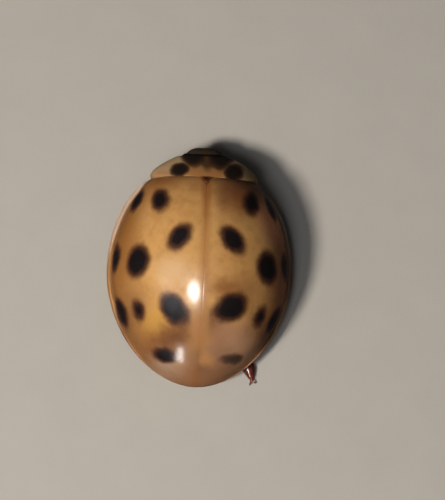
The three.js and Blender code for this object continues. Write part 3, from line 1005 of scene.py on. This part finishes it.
def trunk_rings(front, back, rows, under):
    """Rings of a stretch of the trunk; under(x share, y) gives how far its underside drops."""
    rings = []
    columns = 48
    hollow = 1 - TRUNK_GAP / HALF_WIDTH
    for i in range(rows + 1):
        y = lerp(front, back, i / rows)
        edge_y = WIDEST_Y + (y - WIDEST_Y) / hollow
        wide = bisect(lambda x: share_at(x, edge_y) - 1, 0.0, HALF_WIDTH + 0.1) * hollow
        rim = rim_height(edge_y)
        low, top = [], []
        for j in range(columns + 1):
            across = arch(lerp(-1, 1, j / columns))
            x = wide * across
            low.append((x, y, rim + 0.01 - under(across, y)))
            share = min(share_at(x, y) / hollow, 1.0)
            top.append((x, y, rim + 0.015 + (BACK_TOP - TRUNK_ROOF - rim) * math.sqrt(1 - share * share)))
        rings.append(low + top[::-1])
    return rings


def belly_drop(across, y):
    """How far the abdomen hangs below the rim: each plate laps a little over the next."""
    edges = (HIP_Y,) + RINGS_OF_BELLY + (TAIL_Y + 0.6,)
    step = 0.0
    for front, back in zip(edges, edges[1:]):
        if back <= y <= front:
            step = 0.030 * (front - y) / (front - back)
    hang = 0.10 * (1 - across ** 2) * clamp((y - TAIL_Y - 0.5) / 0.8)
    dimple = 0.022 * bump(abs(across) - 0.80, 0.07)
    return hang + step - dimple


def chest_drop(across, y):
    """The breastplate between the middle and hind legs, with a furrow down its middle."""
    hang = 0.13 * (1 - across ** 2)
    furrow = 0.035 * bump(across, 0.025) * clamp((0.9 - y) / 0.5)
    collar = 0.03 * bump(y - 1.42, 0.05) + 0.03 * bump(y - 0.80, 0.04) * clamp((abs(across) - 0.1) * 6)
    return hang - furrow - collar


def head_shape(unit):
    """Squares the head a little, flattens the face and draws it in towards the mouth."""
    power = 2.6
    square = (abs(unit.x) ** power + abs(unit.y) ** power) ** (1 / power)
    full = math.hypot(unit.x, unit.y) / max(square, 1e-6)
    face = clamp(unit.y)
    low = clamp(-unit.z)
    unit = Vector((unit.x * full * (1 - 0.22 * face * low), unit.y * full, unit.z))
    unit.y *= 1 - 0.05 * bump(unit.x, 0.4) * face
    if unit.y > 0.2 and unit.z < 0:
        unit.z *= 1 + 0.05 * math.cos(unit.x * 3)
    return unit


# Where ankle and toe stand in the boxes of shin and foot: shares outwards and to the head.
LEG_CORNERS = {"front": (0, 1), "mid": (1, 0), "hind": (0, 0)}


def leg_joints(name, side_name, side):
    """Hip, knee, ankle and toe of a leg, from the corners of its CAD nodes."""
    stem = f"leg_{name}_{side_name}_"
    out, ahead = LEG_CORNERS[name]
    # The right hind foot is turned outwards, beside the tail.
    toe_out = 1 if name == "hind" and side > 0 else out
    return (inside(stem + "femur", side, 0, 1, 1, 0.20),
            inside(stem + "femur", side, 1, 0, 0, 0.22),
            inside(stem + "tibia", side, out, ahead, 0, 0.24),
            inside(stem + "tarsus", side, toe_out, ahead, 0, 0.16))


# Girths: half the thickness of a limb, in millimetres, at a share of the way along it.

def thigh_girth(share):
    return 0.115 + 0.095 * math.sin(clamp(share * 1.08) * math.pi) ** 0.8


def shin_girth(share):
    return 0.085 + 0.045 * share - 0.012 * bump(share - 0.12, 0.08)


def foot_girth(share):
    """A small lobe, then a broad padded lobe that carries the claws."""
    lobes = max(bump(share - 0.22, 0.14), 2.9 * bump(share - 0.78, 0.15))
    return 0.042 + 0.042 * lobes


def claw_girth(share):
    return 0.024 * (1 - 0.8 * share)


def palp_girth(share):
    """Slim joints that end in a broad, hatchet-like one."""
    return 0.045 + (0.055 * clamp((share - 0.55) * 3) if share > 0.55 else 0.006 * math.sin(share * 30))


def feeler_girth(share):
    """Eleven joints: a stout first one, slim beads, and a three-jointed club."""
    first = 0.16
    if share < first:
        return 0.055 * (0.75 + 0.25 * math.sin(share / first * math.pi))
    count = 10
    place = (share - first) / (1 - first) * count
    joint = int(min(place, count - 1))
    bead = abs(math.sin((place - joint) * math.pi)) ** 0.5
    full = 0.036 if joint < 7 else (0.048, 0.060, 0.054)[joint - 7]
    return full * (0.62 + 0.38 * bead)


def foot_path(ankle, toe):
    """From the ankle down over the heel and along the sole to the toe."""
    heights = (ankle.z - 0.02, HEEL, SOLE + 0.02, SOLE, SOLE)
    path = [ankle] + [ankle.lerp(toe, share) for share in (0.06, 0.28, 0.60)] + [toe]
    return [Vector((point.x, point.y, height)) for point, height in zip(path, heights)]


def claw_paths(ankle, toe):
    """A pair of hooked claws that touch the ground."""
    ahead = Vector((toe.x - ankle.x, toe.y - ankle.y, 0)).normalized()
    aside = Vector((-ahead.y, ahead.x, 0))
    start = Vector((toe.x, toe.y, 0.10))
    # Each point of a claw: forwards, sideways and up, in millimetres.
    hook = ((-0.04, 0.02, 0), (0.04, 0.05, 0.02), (0.09, 0.08, -0.02), (0.10, 0.09, -0.085))
    return [limb_rows([start + ahead * on + aside * way * out + Vector((0, 0, up)) for on, out, up in hook],
                      claw_girth, 10) for way in (-1, 1)]


# ------------------------------------------------------------------ operators

class PieceOperator:
    """What the operators share."""
    bl_options = {"REGISTER", "UNDO"}

    def chosen(self, context):
        return context.scene.ladybird_sizes, context.scene.ladybird_colours


class LADYBIRD_OT_wing_cases(PieceOperator, bpy.types.Operator):
    """Build both wing cases with their spots"""
    bl_idname = "ladybird.wing_cases"
    bl_label = "Wing cases"

    def execute(self, context):
        sizes, colours = self.chosen(context)
        for name, side in SIDES:
            piece = loft_mesh(f"wing_case_{name}", [wing_case_rings(side, sizes)])
            settle(piece, wing_case_finish(name, sizes, colours), "wing_case", f"elytron_{name}")
        return {"FINISHED"}


class LADYBIRD_OT_scutellum(PieceOperator, bpy.types.Operator):
    """Build the small triangular plate between the wing cases"""
    bl_idname = "ladybird.scutellum"
    bl_label = "Scutellum"

    def execute(self, context):
        finish = scutellum_finish(self.chosen(context)[1])
        settle(loft_mesh("scutellum_plate", [scutellum_rings()]), finish, "scutellum", "scutellum")
        return {"FINISHED"}


class LADYBIRD_OT_shield(PieceOperator, bpy.types.Operator):
    """Build the marked neck shield"""
    bl_idname = "ladybird.shield"
    bl_label = "Neck shield"

    def execute(self, context):
        finish = shield_finish(self.chosen(context)[1])
        settle(loft_mesh("neck_shield", [shield_rings()]), finish, "pronotum", "pronotum")
        return {"FINISHED"}


# The eyes are let into its sides, so the head is this much wider than its CAD node.
HEAD_WIDEN = 1.12


class LADYBIRD_OT_head(PieceOperator, bpy.types.Operator):
    """Build the head, the faceted eyes, the mouthparts and the feelers"""
    bl_idname = "ladybird.head"
    bl_label = "Head"

    def execute(self, context):
        _, colours = self.chosen(context)
        black = dark_cuticle("black chitin of the head", colours, colours.head, 0.16)
        amber = amber_cuticle("amber chitin of mouthparts and feelers", colours.leg, colours.honey)
        centre, half = middle_and_half("head")
        half.x *= HEAD_WIDEN
        head = loft_mesh("head_capsule", [ball(centre, half, 36, 56, head_shape)])
        settle(head, black, "head", "head")
        self.eyes(eye_finish(colours))
        self.mouth(amber)
        self.feelers(amber)
        return {"FINISHED"}

    def eyes(self, lens):
        tree = eye_tree()
        for name, _ in SIDES:
            centre, half = middle_and_half(f"eye_{name}")
            seed = bpy.data.meshes.new("eye_seed")
            eye = grown(f"compound_eye_{name}", tree, seed, {
                "Half size": half * MM * 0.97, "Centre": centre * MM, "Finish": lens})
            settle(eye, lens, "eye", f"eye_{name}")

    def mouth(self, amber):
        low, high = corners("mouthparts")
        middle = (low + high) / 2
        size = high - low
        lip = ball((0, high.y - 0.07, middle.z + 0.06), (size.x * 0.30, 0.07, 0.07), 12, 24)
        chin = ball((0, middle.y - 0.02, low.z + 0.10), (size.x * 0.30, size.y * 0.42, 0.09), 12, 24)
        jaws = [ball((side * size.x * 0.24, high.y - 0.10, middle.z - 0.03),
                     (size.x * 0.20, 0.10, 0.075), 12, 20) for _, side in SIDES]
        settle(loft_mesh("lip_and_jaws", [lip, chin] + jaws), amber, "mouthparts", "mouthparts")
        tree = limb_tree()
        for name, side in SIDES:
            node = f"palp_{name}"
            path = [inside(node, side, 0.1, 0.1, 1, 0.06), inside(node, side, 0.5, 0.55, 0.6, 0.06),
                    inside(node, side, 0.58, 0.8, 0.1, 0.08)]
            grow_limb(tree, f"mouth_feeler_{name}", [limb_rows(path, palp_girth)], amber, "mouthparts", node,
                      0.8, 2.0e9, 0.03 * MM)

    def feelers(self, amber):
        tree = limb_tree()
        for name, side in SIDES:
            node = f"antenna_{name}"
            path = [inside(node, side, 0, 1, 1, 0.14), inside(node, side, 0.62, 0.78, 0.45, 0.14),
                    inside(node, side, 0.9, 0.42, 0.22, 0.14), inside(node, side, 1, 0, 0.15, 0.16)]
            grow_limb(tree, f"feeler_{name}", [limb_rows(path, feeler_girth, 130)], amber, "antenna", node,
                      0.85, 1.6e9, 0.035 * MM, 14)


class LADYBIRD_OT_underside(PieceOperator, bpy.types.Operator):
    """Build the underside of the chest and the belly"""
    bl_idname = "ladybird.underside"
    bl_label = "Underside"

    def execute(self, context):
        _, colours = self.chosen(context)
        dark = dark_cuticle("dark chitin of the chest", colours, colours.black)
        amber = amber_cuticle("orange brown chitin of the belly", colours.belly, colours.dark_brown_and_groove_shade, 1.4)
        centre, half = middle_and_half("prothorax")
        bottom = corners("prothorax")[0].z
        keel = ball((0, centre.y + 0.05, bottom + 0.07), (0.13, 0.40, 0.09), 16, 24)
        hips = [ball((side * 0.36, centre.y, bottom + 0.06), (0.22, 0.17, 0.15), 14, 24)
                for _, side in SIDES]
        neck = loft_mesh("neck_and_front_chest", [ball(centre, half, 30, 48), keel] + hips)
        settle(neck, dark, "thorax", "prothorax")
        sockets = []
        for name in ("mid", "hind"):
            for side_name, side in SIDES:
                hip = leg_joints(name, side_name, side)[0]
                sockets.append(ball((hip.x * 0.9, hip.y, hip.z + 0.03), (0.34, 0.20, 0.17), 16, 28))
        chest = trunk_rings(CHEST_BACK_Y, HIP_Y + 0.02, 64, chest_drop)
        settle(loft_mesh("hind_chest", [chest] + sockets), dark, "thorax", "pterothorax")
        tail = corners("abdomen")[0].y
        belly = trunk_rings(HIP_Y - 0.02, tail + 0.01, 120, belly_drop)
        settle(loft_mesh("belly_plates", [belly]), amber, "abdomen", "abdomen")
        return {"FINISHED"}


class LADYBIRD_OT_legs(PieceOperator, bpy.types.Operator):
    """Build the six legs with their bristles and claws"""
    bl_idname = "ladybird.legs"
    bl_label = "Legs"

    def execute(self, context):
        sizes, colours = self.chosen(context)
        amber = amber_cuticle("amber chitin of the legs", colours.leg, colours.dark_brown_and_groove_shade, 1.6)
        red = amber_cuticle("dark red brown chitin of the feet", colours.foot, colours.dark_brown_and_groove_shade, 3.0)
        tree = limb_tree()
        for name in LEG_CORNERS:
            for side_name, side in SIDES:
                hip, knee, ankle, toe = leg_joints(name, side_name, side)
                bow = Vector((0, 0, 0.05))
                thigh = limb_rows([hip, hip.lerp(knee, 0.5) + bow, knee], thigh_girth)
                shin = limb_rows([knee, knee.lerp(ankle, 0.5) + bow * 0.4, ankle], shin_girth)
                foot = limb_rows(foot_path(ankle, toe), foot_girth, 48)
                for part, paths, flatness, bristles, share, finish in (
                        ("femur", [thigh], 0.72, 0.5e9, 0.8, amber),
                        ("tibia", [shin], 0.8, 1.6e9, 0.8, amber),
                        ("tarsus", [foot] + claw_paths(ankle, toe), 0.7, 2.2e9, 0.45, red)):
                    grow_limb(tree, f"{name}_leg_{side_name}_{part}", paths, finish, "leg",
                              f"leg_{name}_{side_name}_{part}", flatness, bristles, sizes.bristle * share)
        return {"FINISHED"}


# The view: how far it leans to the left and to the tail from straight above, and how far the
# body is turned in the picture, in degrees; then distance and width of the view in millimetres.
LEAN_LEFT = 3.49
LEAN_TAIL = 12.0
TURN = 2.32
FAR = 80.0
VIEW_WIDTH = 12.876
SENSOR = 36
# What the middle of the view shows: a place on the body, then how far right of and above it.
AIM = (0, -0.38, 1.6)
AIM_RIGHT = 0.637
AIM_UP = 0.735

# The lamps: direction from the body, distance and size in millimetres, power in watts, tint, and
# what the lamp leaves out. The first three only make highlights, and the softbox has none.
WARM = (1.0, 0.97, 0.93)
COOL = (0.86, 0.93, 1.0)
LAMPS = {
    "glint": ((-0.21, -0.36, 0.93), 110, 30, 0.42, WARM, "visible_diffuse"),
    "edge_light": ((-0.39, -0.92, -0.07), 120, 26, 0.55, WARM, "visible_diffuse"),
    "sheen": ((-0.72, -0.36, 0.59), 110, 50, 0.05, COOL, "visible_diffuse"),
    "softbox": ((-0.46, -0.36, 0.81), 120, 20, 0.157, WARM, "visible_glossy"),
}
SKY_LIGHT = 0.035
SKY_SEEN = 0.60


class LADYBIRD_OT_stage(PieceOperator, bpy.types.Operator):
    """Build the floor, the lights and the camera"""
    bl_idname = "ladybird.stage"
    bl_label = "Stage"

    def execute(self, context):
        _, colours = self.chosen(context)
        mesh = bpy.data.meshes.new("floor")
        wide = 2.0
        square = [(x * wide, y * wide, 0) for x, y in ((-1, -1), (1, -1), (1, 1), (-1, 1))]
        mesh.from_pydata(square, [], [(0, 1, 2, 3)])
        mesh.materials.append(floor_finish(colours))
        floor = linked("floor", mesh)
        floor.visible_glossy = False
        for name, (way, far, size, power, tint, left_out) in LAMPS.items():
            lamp = bpy.data.lights.new(name, "AREA")
            lamp.shape = "DISK"
            lamp.size = size * MM
            lamp.energy = power
            lamp.color = tint
            holder = linked(name, lamp)
            way = Vector(way).normalized()
            facing = way.to_track_quat("Z", "Y").to_matrix().to_4x4()
            holder.matrix_world = Matrix.Translation(way * far * MM) @ facing
            holder.visible_camera = False
            setattr(holder, left_out, False)
        world = bpy.data.worlds.new("studio")
        world.use_nodes = True
        tree = world.node_tree
        sky = tree.nodes["Background"]
        sky.inputs["Color"].default_value = (0.95, 0.97, 1.0, 1.0)
        seen = add_node(tree, "ShaderNodeLightPath").outputs["Is Camera Ray"]
        level = add_node(tree, "ShaderNodeMapRange", {0: seen, 3: SKY_LIGHT, 4: SKY_SEEN})
        tree.links.new(level.outputs[0], sky.inputs["Strength"])
        context.scene.world = world
        self.camera(context)
        context.scene.view_settings.view_transform = "Standard"
        return {"FINISHED"}

    def camera(self, context):
        left, tail, turn = (math.radians(angle) for angle in (LEAN_LEFT, LEAN_TAIL, TURN))
        back = Vector((-math.tan(left), -math.tan(tail), 1)).normalized()
        ahead = Vector((0, 1, 0))
        up = (ahead - back * ahead.dot(back)).normalized()
        right = up.cross(back)
        right, up = (right * math.cos(turn) + up * math.sin(turn),
                     up * math.cos(turn) - right * math.sin(turn))
        aim = Vector(AIM) + right * AIM_RIGHT + up * AIM_UP
        lens = bpy.data.cameras.new("view")
        lens.sensor_fit = "HORIZONTAL"
        lens.sensor_width = SENSOR
        lens.lens = SENSOR * FAR / VIEW_WIDTH
        lens.clip_start = 0.001
        lens.clip_end = 10
        holder = linked("view", lens)
        facing = Matrix((right, up, back)).transposed().to_4x4()
        holder.matrix_world = Matrix.Translation((aim + back * FAR) * MM) @ facing
        context.scene.camera = holder


OPERATORS = (
    LADYBIRD_OT_stage,
    LADYBIRD_OT_wing_cases,
    LADYBIRD_OT_scutellum,
    LADYBIRD_OT_shield,
    LADYBIRD_OT_head,
    LADYBIRD_OT_underside,
    LADYBIRD_OT_legs,
)


class LADYBIRD_PT_parts(bpy.types.Panel):
    """The ladybird's pieces, sizes and colours"""
    bl_label = "Ladybird"
    bl_idname = "LADYBIRD_PT_parts"
    bl_space_type = "VIEW_3D"
    bl_region_type = "UI"
    bl_category = "Ladybird"

    def draw(self, context):
        for group in (context.scene.ladybird_sizes, context.scene.ladybird_colours):
            column = self.layout.column(align=True)
            for name in group.__annotations__:
                column.prop(group, name)
        column = self.layout.column(align=True)
        for operator in OPERATORS:
            column.operator(operator.bl_idname)


CLASSES = (LadybirdSizes, LadybirdColours) + OPERATORS + (LADYBIRD_PT_parts,)


def register():
    for each in CLASSES:
        bpy.utils.register_class(each)
    bpy.types.Scene.ladybird_sizes = bpy.props.PointerProperty(type=LadybirdSizes)
    bpy.types.Scene.ladybird_colours = bpy.props.PointerProperty(type=LadybirdColours)


def unregister():
    del bpy.types.Scene.ladybird_colours
    del bpy.types.Scene.ladybird_sizes
    for each in reversed(CLASSES):
        bpy.utils.unregister_class(each)


def main():
    register()
    for operator in OPERATORS:
        name = operator.bl_idname.split(".")[1]
        getattr(bpy.ops.ladybird, name)()


if __name__ == "__main__":
    main()
